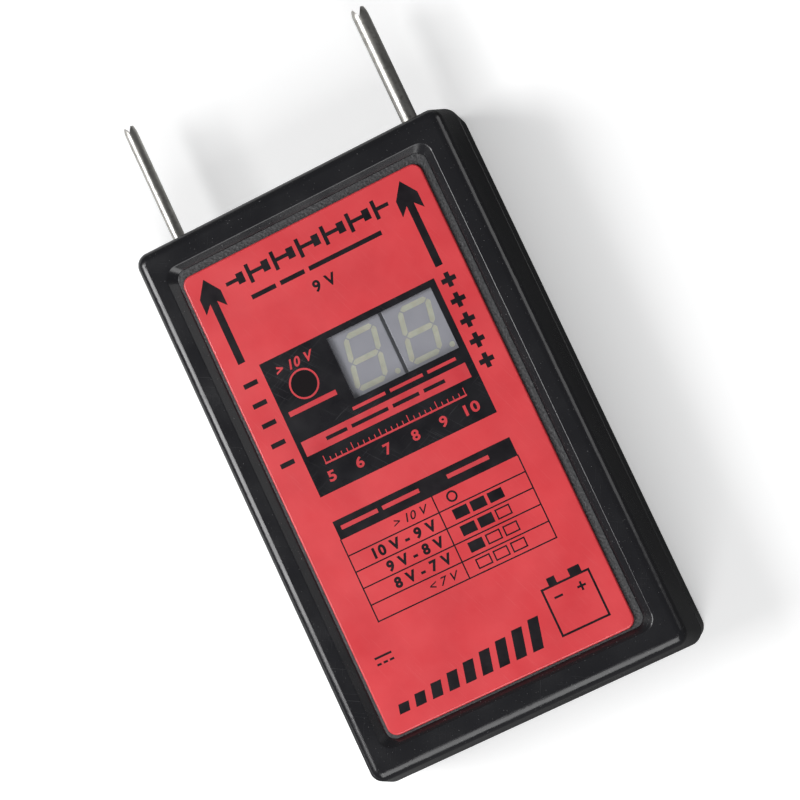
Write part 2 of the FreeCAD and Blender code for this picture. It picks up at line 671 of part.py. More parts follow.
def transistor_bodies(spots):
    """Round bodies with one flat side."""
    bodies = []
    z_low = BOARD_Z + TRANSISTOR_STANDOFF
    z_high = z_low + TRANSISTOR_HEIGHT
    for x, y in spots:
        body = post(TRANSISTOR_RADIUS, z_low, z_high, x, y)
        cut_away = centred_box(2 * TRANSISTOR_RADIUS, TRANSISTOR_RADIUS, z_low - OVERCUT,
                               z_high + OVERCUT, x, y - TRANSISTOR_FLAT - TRANSISTOR_RADIUS / 2)
        bodies.append(body.cut(cut_away))
    return Part.Compound(bodies)


FILM_CAPACITOR_SPOTS = [(22.5, -21.0), (22.5, -27.0), (22.5, 4.5)]
FILM_CAPACITOR_SIZE = (7.2, 2.6, 5.6)
FILM_LEAD_SPACING = 5.08
ELECTROLYTIC_SPOT = (14.0, -38.0)
ELECTROLYTIC_RADIUS = 2.5
ELECTROLYTIC_LENGTH = 11.0
ELECTROLYTIC_LEAD_SPACING = 2.0
ELECTROLYTIC_LEAD_REACH = 1.5
ELECTROLYTIC_ROUND = 0.4


def film_capacitor_points():
    return [(x + side * FILM_LEAD_SPACING / 2, y) for x, y in FILM_CAPACITOR_SPOTS for side in SIDES]


def film_capacitors():
    width, depth, height = FILM_CAPACITOR_SIZE
    return Part.Compound([centred_box(width, depth, BOARD_Z, BOARD_Z + height, x, y)
                          for x, y in FILM_CAPACITOR_SPOTS])


def electrolytic_points():
    x, y = ELECTROLYTIC_SPOT
    lead_x = x - ELECTROLYTIC_LENGTH / 2 - ELECTROLYTIC_LEAD_REACH
    return [(lead_x, y + side * ELECTROLYTIC_LEAD_SPACING / 2) for side in SIDES]


def smoothing_capacitor():
    """Lies on the board, its leads bent down at one end."""
    x, y = ELECTROLYTIC_SPOT
    z = BOARD_Z + BODY_ABOVE_BOARD + ELECTROLYTIC_RADIUS
    start = Vector(x - ELECTROLYTIC_LENGTH / 2, y, z)
    can = Part.makeCylinder(ELECTROLYTIC_RADIUS, ELECTROLYTIC_LENGTH, start, X_AXIS)
    return can.makeFillet(ELECTROLYTIC_ROUND, circular_edges(can))


def electrolytic_leads():
    x, y = ELECTROLYTIC_SPOT
    z = BOARD_Z + BODY_ABOVE_BOARD + ELECTROLYTIC_RADIUS
    leads = []
    for lead_x, lead_y in electrolytic_points():
        length = x - ELECTROLYTIC_LENGTH / 2 - lead_x
        out = Part.makeCylinder(LEAD_RADIUS, length, Vector(lead_x, lead_y, z), X_AXIS)
        bend = Part.makeSphere(LEAD_RADIUS, Vector(lead_x, lead_y, z))
        leads.append(post(LEAD_RADIUS, LEAD_END_Z, z, lead_x, lead_y).fuse([out, bend]))
    return leads


TRIMMER_X = -26.5
TRIMMER_Y = -7.0
TRIMMER_SIZE = 6.6
TRIMMER_HEIGHT = 3.6
TRIMMER_CORNER = 0.6
TRIMMER_LEAD_Y = 2.0        # of the leads, from the rotor's axis
ROTOR_RADIUS = 2.1
ROTOR_GAP = 0.06
ROTOR_DEPTH = 1.4           # of the seat in the body
ROTOR_PROUD = 0.5
ROTOR_SLOT_WIDTH = 0.6
ROTOR_SLOT_DEPTH = 0.7


def trimmer_points():
    ends = [(TRIMMER_X + side * INCH_PITCH, TRIMMER_Y - TRIMMER_LEAD_Y) for side in SIDES]
    return ends + [(TRIMMER_X, TRIMMER_Y + TRIMMER_LEAD_Y)]


def trimmer_body():
    top = BOARD_Z + TRIMMER_HEIGHT
    body = plate(TRIMMER_SIZE, TRIMMER_SIZE, TRIMMER_CORNER, BOARD_Z, top, TRIMMER_X, TRIMMER_Y)
    seat = post(ROTOR_RADIUS + ROTOR_GAP, top - ROTOR_DEPTH, top + OVERCUT, TRIMMER_X, TRIMMER_Y)
    return body.cut(seat)


def trimmer_rotor():
    seat_z = BOARD_Z + TRIMMER_HEIGHT - ROTOR_DEPTH + ROTOR_GAP
    top = BOARD_Z + TRIMMER_HEIGHT + ROTOR_PROUD
    rotor = post(ROTOR_RADIUS, seat_z, top, TRIMMER_X, TRIMMER_Y)
    slot = centred_box(ROTOR_SLOT_WIDTH, 2 * (ROTOR_RADIUS + OVERCUT), top - ROTOR_SLOT_DEPTH,
                       top + OVERCUT, TRIMMER_X, TRIMMER_Y)
    return rotor.cut(slot)


def circuit_board():
    length = BOARD_TOP_Y - BOARD_BOTTOM_Y
    middle_y = (BOARD_TOP_Y + BOARD_BOTTOM_Y) / 2
    board = plate(BOARD_WIDTH, length, BOARD_CORNER, BOARD_UNDERSIDE_Z, BOARD_Z, 0, middle_y)
    low = BOARD_UNDERSIDE_Z - OVERCUT
    high = BOARD_Z + OVERCUT
    holes = [post(BOARD_SCREW_HOLE_RADIUS, low, high, x, y) for x, y in BOARD_SCREWS]
    points = display_pin_points() + led_points() + trimmer_points() + film_capacitor_points()
    points += electrolytic_points() + transistor_points(TRANSISTOR_SPOTS + REGULATOR_SPOTS)
    points += axial_points(SEGMENT_RESISTORS + LOAD_RESISTORS + PROTECTION_DIODE)
    points += dip_points(CONVERTER_SPOT, 16) + dip_points(DECODER_SPOT, 16)
    points += dip_points(COMPARATOR_SPOT, 8)
    holes += [post(LEAD_RADIUS + LEAD_HOLE_GAP, low, high, x, y) for x, y in points]
    return board.cut(holes)


def upright_leads():
    """Leads of the parts that stand on the board: lamp, capacitors, trimmer, transistors."""
    leads = [post(LEAD_RADIUS, LEAD_END_Z, BOARD_Z, x, y)
             for x, y in led_points() + trimmer_points() + film_capacitor_points()]
    leads += [post(LEAD_RADIUS, LEAD_END_Z, BOARD_Z + TRANSISTOR_STANDOFF, x, y)
              for x, y in transistor_points(TRANSISTOR_SPOTS + REGULATOR_SPOTS)]
    return Part.Compound(leads + electrolytic_leads())


# ---------------------------------------------------------------- screws
def cross_head_screw(x, y, seat_z, radius, length, head_radius, head_height):
    """Pan-head screw put in from behind: its head is below seat_z."""
    head = post(head_radius, seat_z - head_height, seat_z, x, y)
    head = head.makeFillet(head_height * SCREW_HEAD_ROUND, flat_edges(head, seat_z - head_height))
    point_z = seat_z + length - radius
    shank = post(radius, seat_z, point_z, x, y)
    point = Part.makeCone(radius, radius * SCREW_POINT_SHARE, radius, Vector(x, y, point_z), Z_AXIS)
    screw = head.fuse([shank, point]).removeSplitter()
    arm = head_radius * CROSS_ARM
    low = seat_z - head_height - OVERCUT
    high = seat_z - head_height + CROSS_DEPTH * head_height / CASE_SCREW_HEAD_HEIGHT
    cross = centred_box(arm, CROSS_WIDTH, low, high, x, y)
    return screw.cut([cross, centred_box(CROSS_WIDTH, arm, low, high, x, y)])


def case_screws():
    return Part.Compound([cross_head_screw(x, y, CASE_SCREW_SEAT_Z, CASE_SCREW_RADIUS,
                                           CASE_SCREW_LENGTH, CASE_SCREW_HEAD_RADIUS,
                                           CASE_SCREW_HEAD_HEIGHT) for x, y in CASE_SCREWS])


def board_screws():
    return Part.Compound([cross_head_screw(x, y, BOARD_UNDERSIDE_Z, BOARD_SCREW_RADIUS,
                                           BOARD_SCREW_LENGTH, BOARD_SCREW_HEAD_RADIUS,
                                           BOARD_SCREW_HEAD_HEIGHT) for x, y in BOARD_SCREWS])


# ---------------------------------------------------------------- output
def all_nodes():
    return {
        "front_shell": front_shell(),
        "rear_shell": rear_shell(),
        "front_label": front_label(),
        "display_window": display_window(),
        "lamp_window": lamp_window(),
        "display_tens": display_module(MODULE_CENTRES[0]),
        "display_units": display_module(MODULE_CENTRES[1]),
        "segments_tens": segment_fill(MODULE_CENTRES[0]),
        "segments_units": segment_fill(MODULE_CENTRES[1]),
        "display_pins": straight_leads(display_pin_points()),
        "overvoltage_led": overvoltage_led(),
        "probe_minus": probe(-1, MINUS_RADIUS),
        "probe_plus": probe(1, PLUS_RADIUS),
        "probe_lock_washers": probe_lock_washers(),
        "probe_solder_tags": probe_solder_tags(),
        "probe_nuts": probe_nuts(),
        "wire_minus": probe_wire(-1),
        "wire_plus": probe_wire(1),
        "circuit_board": circuit_board(),
        "converter_ic": dip_body(CONVERTER_SPOT, 16),
        "decoder_ic": dip_body(DECODER_SPOT, 16),
        "comparator_ic": dip_body(COMPARATOR_SPOT, 8),
        "ic_legs": ic_legs(),
        "digit_transistors": transistor_bodies(TRANSISTOR_SPOTS),
        "voltage_regulator": transistor_bodies(REGULATOR_SPOTS),
        "load_resistors": axial_bodies(LOAD_RESISTORS, LOAD_RESISTOR_RADIUS, LOAD_RESISTOR_LENGTH),
        "segment_resistors": axial_bodies(SEGMENT_RESISTORS, SMALL_RESISTOR_RADIUS,
                                          SMALL_RESISTOR_LENGTH),
        "protection_diode": axial_bodies(PROTECTION_DIODE, DIODE_RADIUS, DIODE_LENGTH),
        "axial_leads": all_axial_leads(),
        "upright_leads": upright_leads(),
        "film_capacitors": film_capacitors(),
        "smoothing_capacitor": smoothing_capacitor(),
        "trimmer_body": trimmer_body(),
        "trimmer_rotor": trimmer_rotor(),
        "case_screws": case_screws(),
        "board_screws": board_screws(),
    }


def write_nodes():
    os.makedirs("parts", exist_ok=True)
    for name, shape in all_nodes().items():
        sound = all(solid.isValid() and solid.Volume > 0 for solid in shape.Solids)
        print(name, len(shape.Solids), "solids", round(shape.Volume, 2), "mm3",
              "sound" if sound and shape.Solids else "NOT SOUND")
        shape.exportStep(os.path.join("parts", name + ".step"))


write_nodes()
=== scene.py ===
import json
import math

import bmesh
import bpy
from mathutils import Matrix, Vector
from mathutils import noise as field
from mathutils.geometry import tessellate_polygon

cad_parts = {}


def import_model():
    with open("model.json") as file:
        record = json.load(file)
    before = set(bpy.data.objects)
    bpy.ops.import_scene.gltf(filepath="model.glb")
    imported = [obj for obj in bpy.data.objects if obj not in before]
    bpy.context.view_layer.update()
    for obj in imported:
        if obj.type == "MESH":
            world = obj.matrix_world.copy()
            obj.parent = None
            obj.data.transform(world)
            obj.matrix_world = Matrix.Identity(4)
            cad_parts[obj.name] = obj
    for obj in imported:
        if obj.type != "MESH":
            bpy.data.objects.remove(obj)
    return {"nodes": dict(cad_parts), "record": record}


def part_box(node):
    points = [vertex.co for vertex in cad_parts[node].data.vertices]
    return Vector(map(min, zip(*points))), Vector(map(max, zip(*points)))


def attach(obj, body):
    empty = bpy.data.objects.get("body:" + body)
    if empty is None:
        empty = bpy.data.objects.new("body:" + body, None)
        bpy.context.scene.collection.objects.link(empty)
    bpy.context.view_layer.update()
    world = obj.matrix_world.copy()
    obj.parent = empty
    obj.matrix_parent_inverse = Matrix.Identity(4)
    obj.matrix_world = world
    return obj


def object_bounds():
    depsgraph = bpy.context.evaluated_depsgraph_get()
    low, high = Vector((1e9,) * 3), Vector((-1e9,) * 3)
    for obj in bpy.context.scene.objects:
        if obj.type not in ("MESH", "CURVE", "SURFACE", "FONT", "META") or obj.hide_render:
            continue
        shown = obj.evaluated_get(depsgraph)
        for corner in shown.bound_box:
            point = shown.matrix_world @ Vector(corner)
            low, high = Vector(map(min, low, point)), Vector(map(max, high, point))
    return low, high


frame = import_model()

# Battery tester on a pale floor. Lengths are in metres unless a name ends in _MM or a comment says so.
CAD_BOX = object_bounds()
MM = 0.001

# ---------------------------------------------------------------- places taken from the CAD
LABEL_LOW, LABEL_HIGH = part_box("front_label")
WINDOW_LOW, WINDOW_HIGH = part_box("display_window")
LAMP_LOW, LAMP_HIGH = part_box("lamp_window")
MODULE_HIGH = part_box("display_tens")[1]
LABEL_MIDDLE = (LABEL_LOW + LABEL_HIGH) / 2

# ---------------------------------------------------------------- camera
CAMERA_DISTANCE = 0.537
CAMERA_TILT_RIGHT = math.radians(9.84)      # off the label's normal
CAMERA_TILT_DOWN = math.radians(5.60)
CAMERA_TURN = math.radians(25.5)            # of the tester in the picture
CAMERA_AIM = Vector((3.55, 9.6, 0)) * MM    # from the label's middle
CAMERA_LENS_MM = 117
CAMERA_SENSOR_MM = 36

# ---------------------------------------------------------------- printed artwork
# Layout in millimetres from the label's lower left corner: (across, up).
INK = 0.02 * MM                 # thickness of one printed layer
ON_LABEL, ON_PANEL, ON_BAR = 0, 1, 2
PANEL = (7.8, 51.3, 48.9, 81.9)             # left, bottom, right, top
BAR = (8.9, 60.1, 47.3, 63.4)
RING_RADIUS = 3.25
RING_LINE = 0.4
ARROW_TIPS = [(4.6, 103.3), (51.05, 103.2)]
ARROW_HALF = [(0.0, 0.0), (2.48, -3.57), (2.5, -7.13), (0.82, -5.34), (0.82, -19.5)]
TABLE = (7.9, 22.9, 49.0, 45.6)
TABLE_ROWS = [41.6, 37.8, 34.1, 30.4, 26.6, 22.9]
TABLE_DIVIDER = 29.1
TABLE_LINE = 0.28
CIRCLE_STEPS = 64

BOLD = 0.030                    # outline offset as a share of the character size
HEAVY = 0.044
CHARACTER_ROOM = 3.0            # extra spacing for each unit of boldness
ITALIC = 0.28

# numbers, left, baseline, width, cap height, boldness, slant
BLACK_NUMBERS = [
    ("9 V", 25.2, 90.2, 5.2, 2.4, BOLD, 0),
    ("> 10 V", 19.4, 38.9, 8.1, 1.75, 0.01, ITALIC),
    ("10 V - 9 V", 12.9, 34.95, 14.6, 2.2, HEAVY, 0),
    ("9 V - 8 V", 14.4, 31.2, 13.1, 2.2, HEAVY, 0),
    ("8 V - 7 V", 14.4, 27.45, 13.1, 2.2, HEAVY, 0),
    ("< 7 V", 20.8, 23.9, 6.7, 1.75, 0.01, ITALIC),
]
RED_NUMBERS = [("> 10 V", 10.4, 78.1, 8.9, 2.0, BOLD, ITALIC)]

# Bars in the place of lines of small print: left, bottom, width, height, lengths of the bars in turn
BLACK_LINES = [(12.5, 94.8, 30.6, 1.0, (3, 3, 9))]
RED_LINES = [
    (9.2, 69.1, 11.1, 1.1, (1,)),
    (21.9, 64.6, 24.0, 0.7, (7, 7, 6)),
    (9.1, 43.3, 18.2, 0.9, (7, 7)),
    (33.8, 43.3, 9.6, 0.9, (1,)),
]
BAR_LINES = [(14.2, 61.4, 27.7, 0.8, (4, 7, 5, 4))]
LINE_GAP = 1.1

SYMBOL = (8.6, 100.1, 5.95)             # circuit symbol of a battery: left, middle height, pitch
SYMBOL_CELLS = 6
SYMBOL_PLATES = ((1.6, 2.4), (0.85, 4.2))   # thickness and height of the short and the long plate
SYMBOL_GAP = 0.85                       # between the two plates of one cell
SYMBOL_LINE = 0.8

SIGN_ROWS = [(4.45, 60.6, False), (51.6, 61.9, True)]   # across, lowest sign, plus
SIGNS = 5
SIGN_PITCH = 4.6
SIGN = (1.6, 1.05)                      # half length, line

LEVELS = [(34.95, 3), (31.2, 2), (27.45, 1), (23.75, 0)]    # bottom, full blocks
LEVEL_LEFT = 31.7
LEVEL_BLOCKS = 3
LEVEL_BLOCK = (3.3, 2.2)                # width, height
LEVEL_GAP = 0.7
LEVEL_LINE = 0.3
LAMP_MARK = (33.0, 39.75, 1.2, 0.4)     # across, up, radius, line

SCALE_VOLTS = [5, 6, 7, 8, 9, 10]
SCALE = (12.0, 57.0, 44.6)      # left end, line, right end
SCALE_TICKS_PER_VOLT = 5
SCALE_LINE = 0.4
SCALE_TICKS = (0.8, 1.5)        # short, long
SCALE_NUMBER_BASELINE = 53.3
SCALE_NUMBER_HEIGHT = 2.2
SCALE_DIGIT_WIDTH = 1.7

GAUGE_BARS = 9                  # rising bars at the label's foot
GAUGE = (3.8, 3.7, 34.6)        # left, bottom, width
GAUGE_HEIGHTS = (2.0, 6.5)
GAUGE_SLANT = 0.25
GAUGE_FILL = 0.62               # bar width as a share of the pitch

BATTERY_ICON = (41.3, 4.0, 52.3, 14.6)
BATTERY_LINE = 0.45
BATTERY_STUDS = [(44.2, 0.9), (49.4, 1.3)]   # across, half width
BATTERY_STUD_HEIGHT = 1.6
BATTERY_SIGNS_UP = 11.9
BATTERY_SIGN = (0.95, 0.45)

DIRECT_CURRENT = (3.8, 14.6, 3.9)       # left, bottom, width
DIRECT_CURRENT_LINE = 0.45
DIRECT_CURRENT_GAP = 1.4

# ---------------------------------------------------------------- textured floor of the recess
RECESS_FLOOR_MM = (58.7, 107.6, 2.15)   # width, length, corner radius
LABEL_CORNER_MM = 2.2
GRAIN_CLEARANCE_MM = 0.05
GRAIN_PITCH_MM = 0.24
GRAIN_BASE_MM = 0.10
GRAIN_HEIGHT_MM = 0.07
GRAIN_COARSE = 2.2                      # size of the coarse grain as a share of the pitch
GRAIN_FINE = 2.3                        # how many times smaller the fine grain is
GRAIN_FINE_SHIFT = Vector((7.1, 3.3, 0.0))  # keeps the two grains apart
GRAIN_FINE_SHARE = 0.6                  # height of the fine grain beside the coarse one
GRAIN_ROWS = 8
CORNER_STEPS = 12


# ================================================================ mesh helpers
def new_piece(name, mesh_data, body, material):
    """Turns finished mesh code into a piece that rides on a CAD body."""
    bmesh.ops.recalc_face_normals(mesh_data, faces=mesh_data.faces)
    mesh = bpy.data.meshes.new(name)
    mesh_data.to_mesh(mesh)
    mesh_data.free()
    mesh.materials.append(material)
    piece = bpy.data.objects.new(name, mesh)
    bpy.context.scene.collection.objects.link(piece)
    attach(piece, body)
    return piece


def add_print(target, loops, level):
    """Thin closed solid between an outline and its holes, at one printed level."""
    z_low = LABEL_HIGH.z + level * INK
    flat = [[Vector((LABEL_LOW.x + u * MM, LABEL_LOW.y + v * MM, z_low)) for u, v in loop]
            for loop in loops]
    points = [point for loop in flat for point in loop]
    lower = [target.verts.new(point) for point in points]
    upper = [target.verts.new(point + Vector((0, 0, INK))) for point in points]
    for a, b, c in tessellate_polygon(flat):
        target.faces.new((upper[a], upper[b], upper[c]))
        target.faces.new((lower[c], lower[b], lower[a]))
    start = 0
    for loop in loops:
        for index in range(len(loop)):
            a = start + index
            b = start + (index + 1) % len(loop)
            target.faces.new((lower[a], lower[b], upper[b], upper[a]))
        start += len(loop)


def rectangle(left, bottom, right, top):
    return [(left, bottom), (right, bottom), (right, top), (left, top)]


def circle(across, up, radius):
    angles = [2 * math.pi * step / CIRCLE_STEPS for step in range(CIRCLE_STEPS)]
    return [(across + radius * math.cos(a), up + radius * math.sin(a)) for a in angles]


def on_label(point):
    """A point of the CAD as (across, up) on the label in millimetres."""
    return ((point.x - LABEL_LOW.x) / MM, (point.y - LABEL_LOW.y) / MM)


def characters(text, boldness, slant):
    """Corner points and faces of some numbers as closed solids, one unit high from -0.5 to 0.5."""
    curve = bpy.data.curves.new("characters", "FONT")
    curve.body = text
    curve.extrude = 0.5
    curve.offset = boldness
    curve.space_character = 1.0 + CHARACTER_ROOM * boldness
    curve.shear = slant
    curve.resolution_u = 4
    carrier = bpy.data.objects.new("characters", curve)
    bpy.context.scene.collection.objects.link(carrier)
    evaluated = carrier.evaluated_get(bpy.context.evaluated_depsgraph_get())
    mesh = bpy.data.meshes.new_from_object(evaluated)
    points = [vertex.co.copy() for vertex in mesh.vertices]
    faces = [tuple(polygon.vertices) for polygon in mesh.polygons]
    bpy.data.objects.remove(carrier)
    bpy.data.curves.remove(curve)
    bpy.data.meshes.remove(mesh)
    return points, faces


def cap_height(boldness):
    points, _ = characters("V", boldness, 0)
    return max(p.y for p in points)


def add_numbers(target, line, level):
    """Prints one line of numbers, stretched to its stated width and cap height."""
    text, left, baseline, width, height, boldness, slant = line
    points, faces = characters(text, boldness, slant)
    low = min(p.x for p in points)
    stretch_x = width / (max(p.x for p in points) - low)
    stretch_y = height / cap_height(boldness)
    z_low = LABEL_HIGH.z + level * INK
    placed = []
    for p in points:
        u = left + (p.x - low) * stretch_x
        v = baseline + p.y * stretch_y
        placed.append(target.verts.new((LABEL_LOW.x + u * MM, LABEL_LOW.y + v * MM,
                                        z_low + (p.z + 0.5) * INK)))
    for face in faces:
        target.faces.new([placed[index] for index in face])


def close_seams(target):
    bmesh.ops.remove_doubles(target, verts=target.verts, dist=INK / 20)
    bmesh.ops.dissolve_degenerate(target, edges=target.edges, dist=INK / 20)


# ================================================================ printed artwork
def add_arrow(target, tip):
    u, v = tip
    right = [(u + across, v + up) for across, up in ARROW_HALF]
    left = [(u - across, v + up) for across, up in reversed(ARROW_HALF[1:])]
    add_print(target, [right + left], ON_LABEL)


def add_sign(target, across, up, size, plus):
    """A minus sign, or a plus sign."""
    length, line = size
    half = line / 2
    add_print(target, [rectangle(across - length, up - half, across + length, up + half)], ON_LABEL)
    if plus:
        for start, end in ((half, length), (-length, -half)):
            add_print(target, [rectangle(across - half, up + start, across + half, up + end)], ON_LABEL)


def add_sign_row(target, across, lowest, plus):
    for index in range(SIGNS):
        add_sign(target, across, lowest + index * SIGN_PITCH, SIGN, plus)


def add_battery_symbol(target):
    """Short and long plates in turn, joined by a line, with the minus end to the left."""
    left, middle, pitch = SYMBOL
    (short, short_height), (long, long_height) = SYMBOL_PLATES
    lead = pitch - short - SYMBOL_GAP - long
    marks = []
    for index in range(SYMBOL_CELLS):
        start = left + index * pitch
        marks.append((start, lead, SYMBOL_LINE))
        marks.append((start + lead, short, short_height))
        marks.append((start + pitch - long, long, long_height))
    marks.append((left + SYMBOL_CELLS * pitch, lead, SYMBOL_LINE))
    for start, width, height in marks:
        add_print(target, [rectangle(start, middle - height / 2, start + width, middle + height / 2)],
                  ON_LABEL)


def add_plain_line(target, line, level):
    left, bottom, width, height, lengths = line
    unit = (width - LINE_GAP * (len(lengths) - 1)) / sum(lengths)
    for length in lengths:
        right = left + length * unit
        add_print(target, [rectangle(left, bottom, right, bottom + height)], level)
        left = right + LINE_GAP


def add_level(target, bottom, full):
    """A row of blocks for how full the battery is, the empty ones in outline."""
    width, height = LEVEL_BLOCK
    line = LEVEL_LINE
    for index in range(LEVEL_BLOCKS):
        left = LEVEL_LEFT + index * (width + LEVEL_GAP)
        loops = [rectangle(left, bottom, left + width, bottom + height)]
        if index >= full:
            loops.append(rectangle(left + line, bottom + line, left + width - line,
                                   bottom + height - line))
        add_print(target, loops, ON_LABEL)


def add_ring(target, across, up, radius, line, level):
    add_print(target, [circle(across, up, radius), circle(across, up, radius - line)], level)


def add_table(target):
    left, bottom, right, top = TABLE
    half = TABLE_LINE / 2
    add_print(target, [rectangle(left, TABLE_ROWS[0], right, top)], ON_LABEL)
    cells = []
    columns = [(left, TABLE_DIVIDER), (TABLE_DIVIDER, right)]
    for high, low in zip(TABLE_ROWS, TABLE_ROWS[1:]):
        for start, end in columns:
            cells.append(rectangle(start + half, low + half, end - half, high - half))
    add_print(target, [rectangle(left - half, bottom - half, right + half, TABLE_ROWS[0])] + cells,
              ON_LABEL)


def add_gauge(target):
    """A row of slanted bars that rise to the right."""
    left, bottom, width = GAUGE
    low, high = GAUGE_HEIGHTS
    pitch = width / GAUGE_BARS
    for index in range(GAUGE_BARS):
        height = low + (high - low) * index / (GAUGE_BARS - 1)
        start = left + index * pitch
        end = start + pitch * GAUGE_FILL
        lean = height * GAUGE_SLANT
        add_print(target, [[(start, bottom), (end, bottom), (end + lean, bottom + height),
                            (start + lean, bottom + height)]], ON_LABEL)


def add_battery_icon(target):
    """Outline of a block battery with its two terminals and their signs."""
    left, bottom, right, top = BATTERY_ICON
    line = BATTERY_LINE
    add_print(target, [rectangle(left, bottom, right, top),
                       rectangle(left + line, bottom + line, right - line, top - line)], ON_LABEL)
    for across, half in BATTERY_STUDS:
        add_print(target, [rectangle(across - half, top, across + half, top + BATTERY_STUD_HEIGHT)],
                  ON_LABEL)
    for (across, _), plus in zip(BATTERY_STUDS, (False, True)):
        add_sign(target, across, BATTERY_SIGNS_UP, BATTERY_SIGN, plus)


def add_direct_current_sign(target):
    """One long line above three short ones."""
    left, bottom, width = DIRECT_CURRENT
    line = DIRECT_CURRENT_LINE
    add_print(target, [rectangle(left, bottom + DIRECT_CURRENT_GAP, left + width,
                                 bottom + DIRECT_CURRENT_GAP + line)], ON_LABEL)
    dash = width / 4
    for index in range(3):
        start = left + index * (width - dash) / 2
        add_print(target, [rectangle(start, bottom, start + dash, bottom + line)], ON_LABEL)


def add_panel(target):
    window = rectangle(*on_label(WINDOW_LOW), *on_label(WINDOW_HIGH))
    lamp = circle(*on_label((LAMP_LOW + LAMP_HIGH) / 2), (LAMP_HIGH.x - LAMP_LOW.x) / 2 / MM)
    add_print(target, [rectangle(*PANEL), window, lamp], ON_LABEL)


def add_lamp_ring(target):
    across, up = on_label((LAMP_LOW + LAMP_HIGH) / 2)
    add_ring(target, across, up, RING_RADIUS, RING_LINE, ON_PANEL)


def add_volt_scale(target):
    """A line with ticks, and a number at each whole volt."""
    left, line, right = SCALE
    short, long = SCALE_TICKS
    half = SCALE_LINE / 2
    add_print(target, [rectangle(left - half, line, right + half, line + SCALE_LINE)], ON_PANEL)
    ticks = (len(SCALE_VOLTS) - 1) * SCALE_TICKS_PER_VOLT
    for index in range(ticks + 1):
        across = left + (right - left) * index / ticks
        height = short if index % SCALE_TICKS_PER_VOLT else long
        add_print(target, [rectangle(across - half / 2, line + SCALE_LINE, across + half / 2,
                                     line + SCALE_LINE + height)], ON_PANEL)
    for index, volts in enumerate(SCALE_VOLTS):
        number = str(volts)
        width = SCALE_DIGIT_WIDTH * len(number)
        start = left + (right - left) * index / (len(SCALE_VOLTS) - 1) - width / 2
        add_numbers(target, (number, start, SCALE_NUMBER_BASELINE, width, SCALE_NUMBER_HEIGHT, BOLD, 0),
                    ON_PANEL)


def black_artwork(material):
    target = bmesh.new()
    for tip in ARROW_TIPS:
        add_arrow(target, tip)
    add_table(target)
    add_gauge(target)
    add_battery_icon(target)
    add_direct_current_sign(target)
    add_battery_symbol(target)
    for row in SIGN_ROWS:
        add_sign_row(target, *row)
    for bottom, full in LEVELS:
        add_level(target, bottom, full)
    add_ring(target, *LAMP_MARK, ON_LABEL)
    for line in BLACK_LINES:
        add_plain_line(target, line, ON_LABEL)
    for line in BLACK_NUMBERS:
        add_numbers(target, line, ON_LABEL)
    close_seams(target)
    return new_piece("label_print_black", target, "case", material)


def black_panel(material):
    target = bmesh.new()
    add_panel(target)
    return new_piece("label_panel_black", target, "case", material)


def red_artwork(material):
    target = bmesh.new()
    add_lamp_ring(target)
    add_print(target, [rectangle(*BAR)], ON_PANEL)
    add_volt_scale(target)
    for line in RED_LINES:
        add_plain_line(target, line, ON_PANEL)
    for line in RED_NUMBERS:
        add_numbers(target, line, ON_PANEL)
    close_seams(target)
    return new_piece("label_print_red", target, "case", material)


def bar_artwork(material):
    target = bmesh.new()
    for line in BAR_LINES:
        add_plain_line(target, line, ON_BAR)
    return new_piece("label_print_dark", target, "case", material)


# ================================================================ textured recess floor
def rounded_loop(middle, width, length, radius, steps_x, steps_y):
    """Points round a rectangle with round corners; two loops of equal steps match point by point."""
    a = width / 2 - radius
    b = length / 2 - radius
    corners = [(a, b, 0), (-a, b, 1), (-a, -b, 2), (a, -b, 3)]
    loop = []
    for index, (x, y, quarter) in enumerate(corners):
        for step in range(CORNER_STEPS + 1):
            angle = math.pi / 2 * (quarter + step / CORNER_STEPS)
            loop.append(Vector((x + radius * math.cos(angle), y + radius * math.sin(angle), 0)))
        last = loop[-1]
        next_x, next_y, next_quarter = corners[(index + 1) % 4]
        angle = math.pi / 2 * next_quarter
        following = Vector((next_x + radius * math.cos(angle), next_y + radius * math.sin(angle), 0))
        steps = steps_x if index % 2 == 0 else steps_y
        loop += [last.lerp(following, step / steps) for step in range(1, steps)]
    return [Vector((middle.x, middle.y, 0)) + point for point in loop]


def grain_height(point):
    """Height of the spark-eroded grain at a place, in metres."""
    spot = point / (GRAIN_PITCH_MM * GRAIN_COARSE * MM)
    coarse = field.noise(spot)
    fine = field.noise(spot * GRAIN_FINE + GRAIN_FINE_SHIFT)
    return (GRAIN_BASE_MM + GRAIN_HEIGHT_MM * (coarse + GRAIN_FINE_SHARE * fine)) * MM


